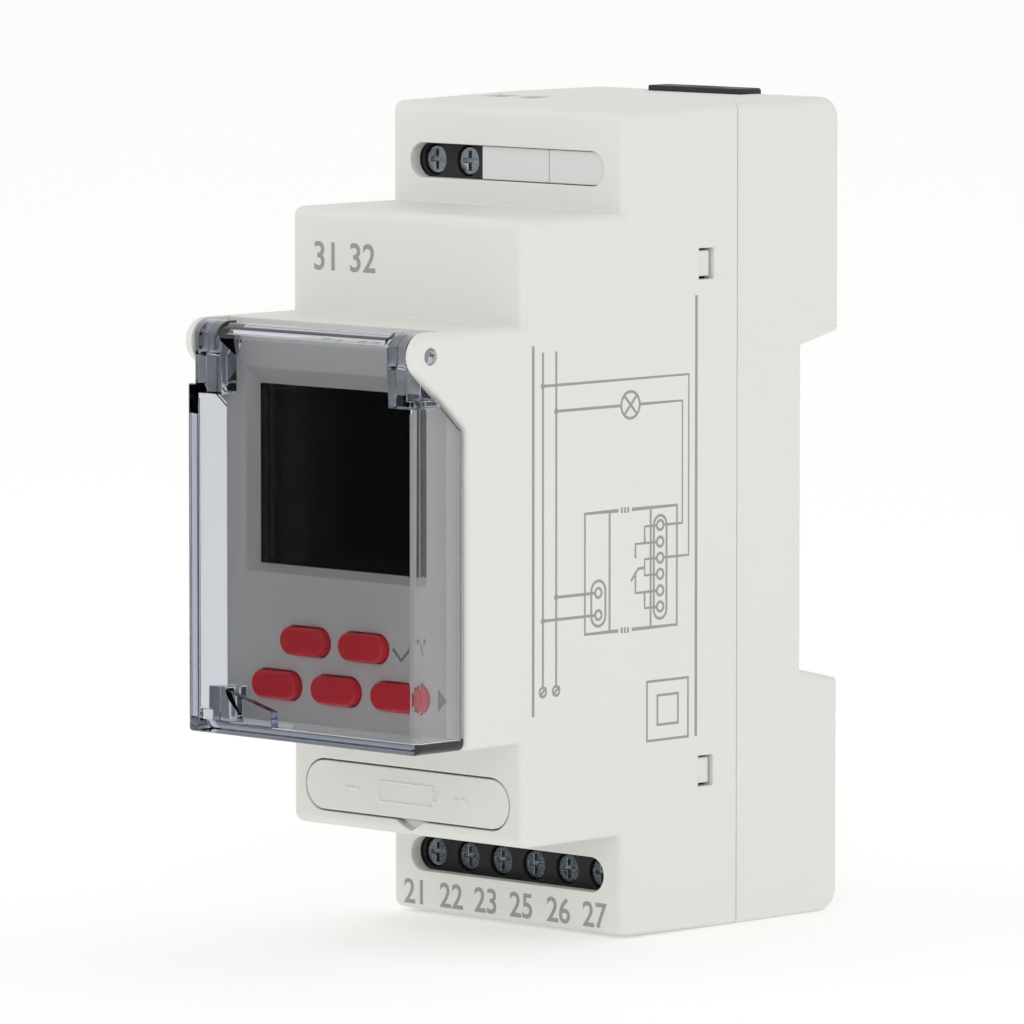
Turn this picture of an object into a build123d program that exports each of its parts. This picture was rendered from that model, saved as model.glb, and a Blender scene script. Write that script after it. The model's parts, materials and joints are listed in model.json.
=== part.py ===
from build123d import *
from math import sqrt
import os

os.makedirs("parts", exist_ok=True)

# A two-module timer for a 35 mm rail, in millimetres.
# The origin is the centre of the face that lies on the rail. +X is to the right of someone
# who faces the front, +Z is up, and the front looks along -Y.

# Overall sizes
width = 35.0
shell_half = 45.0  # half height at the seam between the two shells
draft = 0.4
shoulder_half = 33.7
nose_half = 22.4
wall = 1.6
half_width = width / 2
lip_half = shell_half - draft  # half height at the terminal face

# Depths, measured forwards (-Y) from the rail seat
seam_y = -10.7
terminal_y = -28.8
shoulder_y = -44.3
cheek_y = -53.1
panel_y = -55.1
cover_y = -60.4
back_y = 6.0

# Clearances
face_gap = 0.1  # fixed pieces, face to face
slide_gap = 0.2  # moving pieces, face to face
shaft_gap = 0.05  # radial, a shaft in its hole

# Rail channel and clips
rail_channel_half = 17.85
channel_flare = 1.35
clip_half_width = 7.0
clip_y = (1.1, 4.6)
clip_nose_z = 16.2
clip_ends = {1: shell_half + 0.6, -1: shell_half - slide_gap}  # proud above, flush below
clip_notch = 0.6
clip_eye_radius = 3.0

# Nose panel and its cover
cover_wall = 1.3
cover_front_wall = 1.2
cover_bottom_wall = 1.1
panel_half_width = half_width - cover_wall - slide_gap
panel_bottom_z = 1.4 - nose_half
hinge_y = cover_y + 2.1
hinge_z = nose_half - 2.5
ear_radius = nose_half - hinge_z
ear_thickness = 1.3
peg_radius = 0.9
peg_recess = 0.3  # how far each peg's end lies below the ear's outer face
knuckle_radius = 2.3
knuckle_length = 3.4
knuckle_bottom_z = hinge_z - 5.6
cover_bottom_z = 0.1 - nose_half
cover_top_z = nose_half - 0.4
cover_corner = 0.9
cheek_corner_z = hinge_z - 8.1
side_top_z = hinge_z - 4.6  # top of the cover's side walls, below the ears
latch_x = (-14.5, -12.2)
latch_foot_x = 1.4 - half_width
latch_top_z = cover_bottom_z + 5.0
web_end_x = -5.1
web_thickness = 1.2
ear_tangent = (hinge_y - ear_radius * sqrt(0.5), hinge_z - ear_radius * sqrt(0.5))
cheek_slope = (ear_tangent[1] - cheek_corner_z) / (cheek_y - ear_tangent[0])
cheek_gap = 1.5 * slide_gap  # vertical gap along the slope

# Buttons and their switches, one behind the other
button_size = (6.8, 3.0)
button_proud = 1.0
button_flange = 0.6
button_lip = 1.0  # how much longer and taller the flange is than the button
button_stem = 0.7
button_travel = 0.4
button_places = {
    "menu": (-3.65, -12.0),
    "ok": (5.15, -12.0),
    "minus": (-8.0, -16.95),
    "plus": (1.0, -16.95),
    "next": (10.0, -16.95),
}
plunger_radius = 0.8
plunger_proud = 0.6
switch_size = (4.4, 3.4)
switch_height = 1.5
flange_y = panel_y + wall + slide_gap
plunger_front_y = flange_y + button_flange + button_stem
switch_y = plunger_front_y + plunger_proud

# Boards
board = 1.0
display_board_y = switch_y + switch_height
display_board_half = (panel_half_width - wall, nose_half - wall - 0.6)
power_board_y = seam_y - 0.9
power_board_thick = 1.6
power_board_half = (half_width - wall - 1.9, lip_half - wall - 0.4)
riser_x = power_board_half[0] - power_board_thick
riser_half_z = 18.0
post_x = 11.0
post_z = 19.0
post_radius = 1.7
stake_radius = 0.9
display_post = (13.9, 19.6)

# Display
lens_z = (-5.6, 16.8)
lens_half_width = 13.7
lens_thickness = 1.0
window_front = (13.0, -4.95, 17.05)  # half width, bottom, top at the panel face
window_back = (12.2, -4.1, 15.2)
lcd_half_width = 13.2
lcd_z = (-5.0, 16.2)
lcd_thickness = 1.7
lcd_rim = 1.0
lens_y = panel_y + wall + face_gap / 2
lcd_y = lens_y + lens_thickness + face_gap

# Terminals: screws along Y, wires along Z
pole_pitch = 5.0
lower_poles = tuple((number - 2.5) * pole_pitch for number in range(6))
upper_poles = lower_poles[:2]
block_half_width = half_width - wall - 1.0
slot_size = (2 * block_half_width - 0.6, 3.8)
slot_z = lip_half - 6.35
block_front_y = terminal_y + wall + face_gap
block_z = (slot_z - 3.65, lip_half - wall - face_gap)
screw_head_radius = 1.5
screw_head_height = 1.5
screw_radius = 1.25
screw_head_y = block_front_y + 0.4
screw_tip_y = screw_head_y + 8.5
strip_width = 2.2
strip_y = (screw_tip_y + face_gap, screw_tip_y + face_gap + 0.6)
cage_width = 3.8
cage_depth = 4.8
cage_top = 1.4
cage_bottom = 1.0
cage_side = 0.6
cage_travel = 2.0
cage_y = (screw_head_y + 5.7, strip_y[1] + cage_travel + face_gap + cage_bottom)
chamber_y = (cage_y[0] - cage_travel - 0.3, cage_y[1] + 0.3)
block_back_y = chamber_y[1] + 1.1
entry_size = (3.6, 3.6)
entry_y = strip_y[1] + 0.9
insert_start_x = -4.2
insert_joint_x = 5.8
insert_y = terminal_y + 0.6

# Battery drawer
drawer_size = (30.6, 5.35)
drawer_z = -29.2
notch_x = (-2.4, 3.4)
notch_tip_z = 0.5 - shoulder_half
notch_depth = 1.0
notch_lap = 0.2
cell_radius = 10.0
cell_thickness = 3.2
cell_play = 0.15
cell_y = shoulder_y + wall + cell_radius + 1.1
tray_half_width = cell_radius + 1.6
tray_back_y = cell_y + cell_radius + 1.2
tray_floor = 0.6
tray_low = drawer_z - drawer_size[1] / 2 + 0.5
cell_low = tray_low + tray_floor
cell_high = cell_low + cell_thickness
guide_wall = 1.5

# Side windows and tongues that hold the shells together
tongue_z = 27.65
tongue_half = 1.4
tongue_thickness = 1.4
window_size = (2.4, 3.4)
window_y = -15.6


def block(x, y, z, mode=Mode.ADD):
    """A box from its limits along X, Y and Z."""
    with Locations(((x[0] + x[1]) / 2, (y[0] + y[1]) / 2, (z[0] + z[1]) / 2)):
        Box(abs(x[1] - x[0]), abs(y[1] - y[0]), abs(z[1] - z[0]), mode=mode)


def rod_y(radius, x, y, z, mode=Mode.ADD):
    """A cylinder along Y from y[0] to y[1]."""
    with Locations((x, (y[0] + y[1]) / 2, z)):
        Cylinder(radius, abs(y[1] - y[0]), rotation=(90, 0, 0), mode=mode)


def rod_x(radius, x, y, z, mode=Mode.ADD):
    """A cylinder along X from x[0] to x[1]."""
    with Locations(((x[0] + x[1]) / 2, y, z)):
        Cylinder(radius, abs(x[1] - x[0]), rotation=(0, 90, 0), mode=mode)


def rod_z(radius, x, y, z, mode=Mode.ADD):
    """A cylinder along Z from z[0] to z[1]."""
    with Locations((x, y, (z[0] + z[1]) / 2)):
        Cylinder(radius, abs(z[1] - z[0]), mode=mode)


def stadium(size, x, y, z, mode=Mode.ADD):
    """A round-ended bar, long in X, from y[0] to y[1] (y[1] is the back)."""
    with BuildSketch(Plane.XZ.offset(-y[1])) as outline:
        with Locations((x, z)):
            SlotOverall(size[0], size[1])
    extrude(outline.sketch, amount=y[1] - y[0], mode=mode)


def mirrored(limits):
    """The same limits below the middle."""
    return (-limits[1], -limits[0])


def write(builder, label):
    """Label a finished sub-part and write it."""
    builder.part.label = label
    export_step(builder.part, f"parts/{label}.step")


def both_ends(z, sign):
    """Limits in z, turned to the lower end where sign is -1."""
    return z if sign > 0 else mirrored(z)


# ---- Front housing ----------------------------------------------------------------------
with BuildPart() as front_housing:
    with BuildSketch(Plane.YZ):
        with BuildLine():
            Polyline(
                (seam_y, shell_half),
                (terminal_y, lip_half),
                (terminal_y, shoulder_half),
                (shoulder_y, shoulder_half),
                (shoulder_y, nose_half),
                (cheek_y, nose_half),
                (cheek_y, -nose_half),
                (shoulder_y, -nose_half),
                (shoulder_y, -shoulder_half),
                (terminal_y, -shoulder_half),
                (terminal_y, -lip_half),
                (seam_y, -shell_half),
                close=True,
            )
        make_face()
    extrude(amount=half_width, both=True)
    corners = {(terminal_y, lip_half), (shoulder_y, shoulder_half), (shoulder_y, -shoulder_half)}
    corners |= {(terminal_y, -lip_half), (cheek_y, -nose_half)}
    brows = front_housing.edges().filter_by(Axis.X).filter_by(
        lambda e: (round(e.center().Y, 3), round(e.center().Z, 3)) in corners
    )
    fillet(brows, radius=min(1.2, wall * 0.75))
    # the raised panel, and the two ears that carry the cover
    block((-panel_half_width, panel_half_width), (panel_y, cheek_y + wall), (panel_bottom_z, nose_half))
    for side in (-1, 1):
        ear_x = half_width if side > 0 else ear_thickness - half_width
        with BuildSketch(Plane.YZ.offset(ear_x)):
            with BuildLine():
                Line((cheek_y + wall, nose_half), (hinge_y, nose_half))
                ThreePointArc((hinge_y, nose_half), (hinge_y - ear_radius, hinge_z), ear_tangent)
                Polyline(
                    ear_tangent,
                    (cheek_y, cheek_corner_z),
                    (cheek_y + wall, cheek_corner_z),
                    (cheek_y + wall, nose_half),
                )
            make_face()
        extrude(amount=-ear_thickness)
        rod_x(
            peg_radius + shaft_gap,
            (side * half_width, side * (half_width - ear_thickness)),
            hinge_y,
            hinge_z,
            Mode.SUBTRACT,
        )
    # hollow, one box for each step of the outline
    inner_x = (wall - half_width, half_width - wall)
    for depth, limit in (
        ((terminal_y + wall, seam_y), lip_half - wall),
        ((shoulder_y + wall, seam_y), shoulder_half - wall),
        ((cheek_y + wall, seam_y), nose_half - wall),
    ):
        block(inner_x, depth, (-limit, limit), Mode.SUBTRACT)
    panel_inner = panel_half_width - wall
    block(
        (-panel_inner, panel_inner),
        (panel_y + wall, seam_y),
        (panel_bottom_z + wall / 2, nose_half - wall),
        Mode.SUBTRACT,
    )
    # display opening, bevelled inwards
    for depth, (half, low, high) in ((panel_y, window_front), (panel_y + wall, window_back)):
        with BuildSketch(Plane.XZ.offset(-depth)):
            with Locations((0, (low + high) / 2)):
                Rectangle(2 * half, high - low)
    loft(mode=Mode.SUBTRACT)
    for x, z in button_places.values():
        hole = (button_size[0] + 2 * face_gap, button_size[1] + 2 * face_gap)
        stadium(hole, x, (panel_y, panel_y + wall), z, Mode.SUBTRACT)
    # posts for the display board
    for x in (-1, 1):
        for z in (-1, 1):
            rod_y(1.0, x * display_post[0], (panel_y + wall, display_board_y), z * display_post[1])
    # terminal slots, wire entries and the battery drawer's mouth
    for sign, poles in ((1, upper_poles), (-1, lower_poles)):
        stadium(slot_size, 0, (terminal_y, terminal_y + wall), sign * slot_z, Mode.SUBTRACT)
        for x in poles:
            block(
                (x - entry_size[0] / 2, x + entry_size[0] / 2),
                (entry_y - entry_size[1] / 2, entry_y + entry_size[1] / 2),
                both_ends((lip_half - 2 * wall, shell_half), sign),
                Mode.SUBTRACT,
            )
    drawer_mouth = (drawer_size[0] + 2 * slide_gap, drawer_size[1] + 2 * slide_gap)
    stadium(drawer_mouth, 0, (shoulder_y, shoulder_y + wall), drawer_z, Mode.SUBTRACT)
    # a three-cornered notch for a fingernail below the drawer
    with BuildSketch(Plane.XZ.offset(-shoulder_y)) as nail_notch:
        with BuildLine():
            Polyline(
                (notch_x[0], drawer_z - drawer_size[1] / 2 + notch_lap),
                (notch_x[1], drawer_z - drawer_size[1] / 2 + notch_lap),
                ((notch_x[0] + notch_x[1]) / 2, notch_tip_z),
                close=True,
            )
        make_face()
    extrude(nail_notch.sketch, amount=-notch_depth, mode=Mode.SUBTRACT)
    # windows for the rear shell's tongues
    for z in (-tongue_z, tongue_z):
        block(
            (-half_width, half_width),
            (window_y - window_size[0] / 2, window_y + window_size[0] / 2),
            (z - window_size[1] / 2, z + window_size[1] / 2),
            Mode.SUBTRACT,
        )
write(front_housing, "front_housing")

# ---- Rear housing -----------------------------------------------------------------------
hook_pocket_x = (clip_half_width + slide_gap + wall, half_width - wall)
with BuildPart() as rear_housing:
    with BuildSketch(Plane.YZ):
        with BuildLine():
            Polyline(
                (seam_y + face_gap, shell_half),
                (back_y, shell_half),
                (back_y, rail_channel_half + channel_flare),
                (0, rail_channel_half),
                (0, -rail_channel_half),
                (back_y, -rail_channel_half - channel_flare),
                (back_y, -shell_half),
                (seam_y + face_gap, -shell_half),
                close=True,
            )
        make_face()
    extrude(amount=half_width, both=True)
    corners = rear_housing.edges().filter_by(Axis.X).filter_by(
        lambda e: e.center().Y > back_y - 0.1 and abs(e.center().Z) > shell_half - 0.1
    )
    fillet(corners, radius=2.5)
    block(inner_x, (seam_y, -wall), (wall - shell_half, shell_half - wall), Mode.SUBTRACT)
    for sign in (-1, 1):
        hook_z = both_ends((rail_channel_half + channel_flare + wall, shell_half - wall), sign)
        for x in (hook_pocket_x, mirrored(hook_pocket_x)):
            block(x, (-wall, back_y - wall), hook_z, Mode.SUBTRACT)
        # the clip's slide, and the notch where its nose reaches over the rail
        clip_slot = clip_half_width + slide_gap
        block(
            (-clip_slot, clip_slot),
            (clip_y[0] - slide_gap, clip_y[1] + slide_gap),
            both_ends((rail_channel_half - 1, shell_half), sign),
            Mode.SUBTRACT,
        )
        block(
            (-clip_slot, clip_slot),
            (-clip_notch, clip_y[0]),
            both_ends((clip_nose_z - 0.3, rail_channel_half), sign),
            Mode.SUBTRACT,
        )
        # tongues that snap into the windows of the front shell
        for side in (-1, 1):
            outer = half_width - wall - slide_gap
            inner = outer - tongue_thickness
            tongue_x = (side * inner, side * outer)
            barb_x = (side * outer, side * (half_width - 0.5))
            tongue = (sign * tongue_z - tongue_half, sign * tongue_z + tongue_half)
            root_x = (side * inner, side * (half_width - wall))
            block(tongue_x, (window_y - 1.6, seam_y + 1.5), tongue)
            block(root_x, (seam_y + face_gap, seam_y + 1.5), tongue)
            block(barb_x, (window_y - 0.9, window_y + 0.9), tongue)
    # posts for the power board
    for x in (-1, 1):
        for z in (-1, 1):
            rod_y(post_radius, x * post_x, (power_board_y + power_board_thick, -wall), z * post_z)
            rod_y(stake_radius, x * post_x, (power_board_y - 0.8, -wall), z * post_z)
write(rear_housing, "rear_housing")

# ---- Front cover ------------------------------------------------------------------------
knuckle_outer = half_width - ear_thickness - slide_gap
with BuildPart() as front_cover:
    with BuildSketch(Plane.YZ):
        with BuildLine():
            Polyline(
                (cover_y, cover_bottom_z),
                (cover_y, cover_top_z - 1.8),
                (cover_y + 0.5, cover_top_z - 0.6),
                (cover_y + 1.6, cover_top_z),
                (cover_y + 2.8, cover_top_z),
                (cover_y + 2.8, side_top_z),
                (cheek_y - (side_top_z + cheek_gap - cheek_corner_z) / cheek_slope, side_top_z),
                (cheek_y - slide_gap, cheek_corner_z + cheek_slope * slide_gap - cheek_gap),
                (cheek_y - slide_gap, cover_bottom_z),
                close=True,
            )
        make_face()
    extrude(amount=half_width, both=True)
    corners = front_cover.edges().filter_by(Axis.Z).group_by(Axis.Y)[0]
    corners += front_cover.edges().filter_by(Axis.Y).group_by(Axis.Z)[0]
    fillet(corners, radius=cover_corner)
    # hollow behind the front wall and above the bottom wall
    reach = half_width - cover_wall
    bottom_inner = cover_bottom_z + cover_bottom_wall
    behind = (cover_y + cover_front_wall, 0)
    block((-reach, reach), behind, (bottom_inner, side_top_z - 1.0), Mode.SUBTRACT)
    inner_corners = front_cover.edges().filter_by(Axis.Z).filter_by(
        lambda e: abs(e.center().Y - behind[0]) < 0.01 and abs(abs(e.center().X) - reach) < 0.01
    )
    fillet(inner_corners, radius=cover_corner / 2)
    top_inner = cover_top_z - cover_front_wall
    block((-knuckle_outer, knuckle_outer), behind, (side_top_z - 1.5, top_inner), Mode.SUBTRACT)
    for side in (-1, 1):
        # room for the ears, then knuckles with pegs on the hinge axis
        block(
            (side * knuckle_outer, side * (half_width + 1)),
            (cover_y - 1, cheek_y),
            (side_top_z, cover_top_z + 1),
            Mode.SUBTRACT,
        )
        knuckle_x = (side * (knuckle_outer - knuckle_length), side * knuckle_outer)
        rod_x(knuckle_radius, knuckle_x, hinge_y, hinge_z)
        block(knuckle_x, (cover_y + 0.6, hinge_y + 1.6), (knuckle_bottom_z, hinge_z))
        peg_x = (side * (knuckle_outer - 1), side * (half_width - peg_recess))
        rod_x(peg_radius, peg_x, hinge_y, hinge_z)
    # trim the knuckles back to the front face
    block((-half_width, half_width), (cover_y - 3, cover_y), (0, 30), Mode.SUBTRACT)
    # latch in the lower left corner: a finger, a foot beside it and a sloping web
    latch_depth = (behind[0] - 0.1, panel_y - 3 * slide_gap)
    web_depth = (behind[0] - 0.1, behind[0] + web_thickness)
    root_z = bottom_inner - 0.2
    block(latch_x, latch_depth, (root_z, latch_top_z))
    block((latch_foot_x, latch_x[0]), web_depth, (root_z, bottom_inner + 1.3))
    with BuildSketch(Plane.XZ.offset(-web_depth[1])) as web:
        with BuildLine():
            Polyline(
                (latch_x[0], root_z),
                (latch_x[0], latch_top_z - 0.3),
                (latch_x[1], latch_top_z - 0.3),
                (web_end_x, bottom_inner + 1.8),
                (web_end_x, root_z),
                close=True,
            )
        make_face()
    extrude(web.sketch, amount=web_depth[1] - web_depth[0])
write(front_cover, "front_cover")

# ---- Display ----------------------------------------------------------------------------
with BuildPart() as display_window:
    block((-lens_half_width, lens_half_width), (lens_y, lens_y + lens_thickness), lens_z)
write(display_window, "display_window")

with BuildPart() as lcd_panel:
    block((-lcd_half_width, lcd_half_width), (lcd_y, lcd_y + lcd_thickness), lcd_z)
write(lcd_panel, "lcd_panel")

with BuildPart() as lcd_frame:
    inner = lcd_half_width + face_gap
    low, high = lcd_z[0] - face_gap, lcd_z[1] + face_gap
    depth = (lcd_y, display_board_y)
    block((-inner - lcd_rim, inner + lcd_rim), depth, (low - lcd_rim, high + lcd_rim))
    block((-inner, inner), depth, (low, high), Mode.SUBTRACT)
write(lcd_frame, "lcd_frame")

with BuildPart() as zebra_connectors:
    for z in (lcd_z[0] + 1.0, lcd_z[1] - 2.4):
        block((-12, 12), (lcd_y + lcd_thickness, display_board_y), (z, z + 1.4))
write(zebra_connectors, "zebra_connectors")

with BuildPart() as display_board:
    half_x, half_z = display_board_half
    block((-half_x, half_x), (display_board_y, display_board_y + board), (-half_z, half_z))
    fillet(display_board.edges().filter_by(Axis.Y), radius=0.6)
write(display_board, "display_board")

# ---- Buttons and their switches ---------------------------------------------------------
plunger_y = (plunger_front_y, switch_y + 0.6)
for name, (x, z) in button_places.items():
    with BuildPart() as button:
        stadium(button_size, x, (panel_y - button_proud, flange_y), z)
        crown = button.faces().sort_by(Axis.Y)[0]
        fillet(crown.edges(), radius=0.4)
        flange = (button_size[0] + button_lip, button_size[1] + button_lip)
        stadium(flange, x, (flange_y, flange_y + button_flange), z)
        rod_y(1.2, x, (flange_y, plunger_y[0] - face_gap / 2), z)
    write(button, f"button_{name}")
    with BuildPart() as plunger:
        rod_y(plunger_radius, x, plunger_y, z)
    write(plunger, f"plunger_{name}")

with BuildPart() as tact_switches:
    for x, z in button_places.values():
        half_x, half_z = switch_size[0] / 2, switch_size[1] / 2
        block((x - half_x, x + half_x), (switch_y, display_board_y), (z - half_z, z + half_z))
    for x, z in button_places.values():
        bore = (switch_y, plunger_y[1] + button_travel + 0.15)
        rod_y(plunger_radius + shaft_gap, x, bore, z, Mode.SUBTRACT)
write(tact_switches, "tact_switches")

# ---- Battery drawer ---------------------------------------------------------------------
with BuildPart() as battery_drawer:
    stadium(drawer_size, 0, (shoulder_y, shoulder_y + wall), drawer_z)
    tray_y = (shoulder_y + wall, tray_back_y)
    block((-tray_half_width, tray_half_width), tray_y, (tray_low, cell_high + 0.2))
    rod_z(cell_radius + cell_play, 0, cell_y, (cell_low, cell_high + 1), Mode.SUBTRACT)
    # the tray's open back, where the spring contact meets the cell's edge
    open_back = (cell_y + cell_radius - 0.9, tray_back_y + 1)
    block((-3.5, 3.5), open_back, (tray_low - 1, cell_high + 1), Mode.SUBTRACT)
write(battery_drawer, "battery_drawer")

with BuildPart() as coin_cell:
    rod_z(cell_radius, 0, cell_y, (cell_low, cell_high))
    fillet(coin_cell.edges().filter_by(GeomType.CIRCLE), radius=0.4)
write(coin_cell, "coin_cell")

guide_x = tray_half_width + slide_gap
guide_y = (shoulder_y + wall + face_gap, tray_back_y + 2.0)
guide_floor = (-shoulder_half + wall + face_gap, tray_low - slide_gap)
with BuildPart() as battery_guide:
    block((-guide_x - guide_wall, guide_x + guide_wall), guide_y, (guide_floor[0], cell_high + 1.2))
    block((-guide_x, guide_x), guide_y, (guide_floor[1], cell_high + 1.2), Mode.SUBTRACT)
write(battery_guide, "battery_guide")

contact_z = (cell_high + 0.3, cell_high + 0.6)
contact_back_y = power_board_y - face_gap
with BuildPart() as battery_contact_minus:
    block((1.5, 5.5), (cell_y, contact_back_y), contact_z)
write(battery_contact_minus, "battery_contact_minus")

with BuildPart() as battery_contact_plus:
    tab = (cell_y + cell_radius + 0.4, cell_y + cell_radius + 0.7)
    block((-3.0, -0.5), tab, (cell_low, contact_z[1]))
    block((-3.0, -0.5), (tab[0], contact_back_y), contact_z)
write(battery_contact_plus, "battery_contact_plus")

# ---- Terminals --------------------------------------------------------------------------
chamber_half = cage_width / 2 + 0.15
chamber_z = (slot_z - cage_depth / 2 - 0.2, slot_z + cage_depth / 2 + 0.2)
block_y = (block_front_y, block_back_y)
strip_foot_z = block_z[0] - 1.2


def terminal_block(poles, x_limits, sign, label):
    """An insulating block with a screw well, a cage chamber and a wire entry at each pole."""
    well = (block_y[0], screw_head_y + screw_head_height + face_gap)
    bore = (block_y[0], chamber_y[0])
    half = entry_size[0] / 2
    entry = (entry_y - entry_size[1] / 2, entry_y + entry_size[1] / 2)
    slit = (strip_y[0] - face_gap, strip_y[1] + face_gap)
    slit_half = strip_width / 2 + face_gap
    with BuildPart() as part:
        block(x_limits, block_y, both_ends(block_z, sign))
        for x in poles:
            rod_y(screw_head_radius + slide_gap, x, well, sign * slot_z, Mode.SUBTRACT)
            rod_y(screw_radius + 2 * shaft_gap, x, bore, sign * slot_z, Mode.SUBTRACT)
            across = (x - chamber_half, x + chamber_half)
            block(across, chamber_y, both_ends(chamber_z, sign), Mode.SUBTRACT)
            block((x - half, x + half), entry, both_ends((slot_z, block_z[1]), sign), Mode.SUBTRACT)
            behind_cage = (x - slit_half, x + slit_half)
            block(behind_cage, slit, both_ends((block_z[0], slot_z), sign), Mode.SUBTRACT)
    write(part, label)


def contact_strips(poles, sign, label):
    """Strips that each run through a cage and turn down to the power board."""
    with BuildPart() as part:
        for x in poles:
            x_limits = (x - strip_width / 2, x + strip_width / 2)
            run = (strip_foot_z, slot_z + cage_depth / 2)
            block(x_limits, strip_y, both_ends(run, sign))
            foot = (strip_foot_z, strip_foot_z + strip_y[1] - strip_y[0])
            block(x_limits, (strip_y[0], contact_back_y), both_ends(foot, sign))
    write(part, label)


def terminal_screw(x, sign, label):
    """A cheese-head screw with a cross recess, on a plain shank."""
    with BuildPart() as part:
        head_back = screw_head_y + screw_head_height
        rod_y(screw_head_radius, x, (screw_head_y, head_back), sign * slot_z)
        rod_y(screw_radius, x, (head_back, screw_tip_y), sign * slot_z)
        for reach_x, reach_z in ((1.1, 0.25), (0.25, 1.1)):
            block((x - reach_x, x + reach_x), (screw_head_y, screw_head_y + 0.8),
                  (sign * slot_z - reach_z, sign * slot_z + reach_z), Mode.SUBTRACT)
    write(part, label)


def clamp_cage(x, sign, label):
    """A rising cage: a ring across the wire's path, threaded on the screw."""
    with BuildPart() as part:
        z = (slot_z - cage_depth / 2, slot_z + cage_depth / 2)
        block((x - cage_width / 2, x + cage_width / 2), cage_y, both_ends(z, sign))
        inner = cage_width / 2 - cage_side
        window = (cage_y[0] + cage_top, cage_y[1] - cage_bottom)
        block((x - inner, x + inner), window, both_ends(z, sign), Mode.SUBTRACT)
        rod_y(screw_radius + shaft_gap, x, (cage_y[0], window[0]), sign * slot_z, Mode.SUBTRACT)
    write(part, label)


upper_limits = (-block_half_width, insert_start_x - face_gap)
terminal_block(upper_poles, upper_limits, 1, "terminal_block_upper")
terminal_block(lower_poles, (-block_half_width, block_half_width), -1, "terminal_block_lower")
contact_strips(upper_poles, 1, "contact_strips_upper")
contact_strips(lower_poles, -1, "contact_strips_lower")
for row, sign, poles in (("upper", 1, upper_poles), ("lower", -1, lower_poles)):
    for number, x in enumerate(poles, start=1):
        terminal_screw(x, sign, f"screw_{row}_{number}")
        clamp_cage(x, sign, f"cage_{row}_{number}")

# blanking inserts fill the unused part of the upper slot
insert_size = (slot_size[0] - 2 * face_gap, slot_size[1] - 2 * face_gap)
for number, x_limits in enumerate(
    ((insert_start_x, insert_joint_x), (insert_joint_x + face_gap, block_half_width)), start=1
):
    with BuildPart() as blanking_insert:
        stadium(insert_size, 0, (insert_y, block_front_y), slot_z)
        block(x_limits, (insert_y, block_front_y), block_z, Mode.INTERSECT)
        block(x_limits, (block_front_y, block_back_y), block_z)
    write(blanking_insert, f"blanking_insert_{number}")

# ---- Power board and what stands on it --------------------------------------------------
with BuildPart() as power_board:
    half_x, half_z = power_board_half
    block((-half_x, half_x), (power_board_y, power_board_y + power_board_thick), (-half_z, half_z))
    for x in (-1, 1):
        for z in (-1, 1):
            through = (power_board_y, power_board_y + power_board_thick)
            rod_y(stake_radius + face_gap, x * post_x, through, z * post_z, Mode.SUBTRACT)
write(power_board, "power_board")

with BuildPart() as riser_board:
    riser_y = (display_board_y + board + face_gap, power_board_y - face_gap)
    block((riser_x, riser_x + power_board_thick), riser_y, (-riser_half_z, riser_half_z))
write(riser_board, "riser_board")

foot_y = power_board_y
with BuildPart() as relay:
    block((-8.5, 4.2), (foot_y - 15.7, foot_y), (-12, 17))
    fillet(relay.edges().filter_by(Axis.Y), radius=0.6)
write(relay, "relay")

with BuildPart() as film_capacitor:
    block((-13.8, -9.2), (foot_y - 10.5, foot_y), (2, 15))
    fillet(film_capacitor.edges().filter_by(Axis.Y), radius=0.5)
write(film_capacitor, "film_capacitor")

with BuildPart() as bulk_capacitor:
    rod_y(3.5, 8.4, (foot_y - 12.5, foot_y), 12)
    fillet(bulk_capacitor.edges().filter_by(GeomType.CIRCLE), radius=0.5)
write(bulk_capacitor, "bulk_capacitor")

with BuildPart() as choke:
    rod_y(3.3, 8.4, (foot_y - 8.0, foot_y), 3)
    rod_y(2.6, 8.4, (foot_y - 9.0, foot_y), 3)
write(choke, "choke")

with BuildPart() as varistor:
    rod_x(3.6, (-13.2, -10.6), foot_y - 4.6, -6)
    for z in (-7.8, -4.2):
        block((-12.1, -11.6), (foot_y - 3, foot_y), (z - 0.25, z + 0.25))
write(varistor, "varistor")

with BuildPart() as fuse_resistor:
    rod_z(1.6, 8.4, foot_y - 2.2, (-18, -8))
    for z in (-18.6, -8.0):
        block((8.1, 8.7), (foot_y - 2.5, foot_y), (z, z + 0.6))
write(fuse_resistor, "fuse_resistor")

back_of_board = display_board_y + board
with BuildPart() as microcontroller:
    block((-5, 5), (back_of_board, back_of_board + 1.4), (-5, 5))
    chamfer(microcontroller.edges().filter_by(Axis.Y), length=0.4)
write(microcontroller, "microcontroller")

with BuildPart() as quartz_crystal:
    stadium((9.0, 3.6), -6, (back_of_board, back_of_board + 3.0), 12)
write(quartz_crystal, "quartz_crystal")

with BuildPart() as board_header:
    block((riser_x - 2.5, riser_x), (back_of_board, back_of_board + 2.5), (-8, 8))
write(board_header, "board_header")

# ---- Rail clips -------------------------------------------------------------------------
for sign, label in ((1, "rail_clip_upper"), (-1, "rail_clip_lower")):
    with BuildPart() as rail_clip:
        end = clip_ends[sign]
        block((-clip_half_width, clip_half_width), clip_y, both_ends((clip_nose_z, end), sign))
        nose = rail_clip.edges().filter_by(Axis.X).filter_by(
            lambda e: abs(e.center().Z) < clip_nose_z + 0.1 and e.center().Y > clip_y[1] - 0.1
        )
        chamfer(nose, length=1.2)
        block((-2.5, 2.5), (clip_y[0] + 1, clip_y[1] - 1), both_ends((end - 5, end), sign),
              Mode.SUBTRACT)
        rod_y(clip_eye_radius, 0, clip_y, sign * (rail_channel_half + end) / 2, Mode.SUBTRACT)
    write(rail_clip, label)
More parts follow.
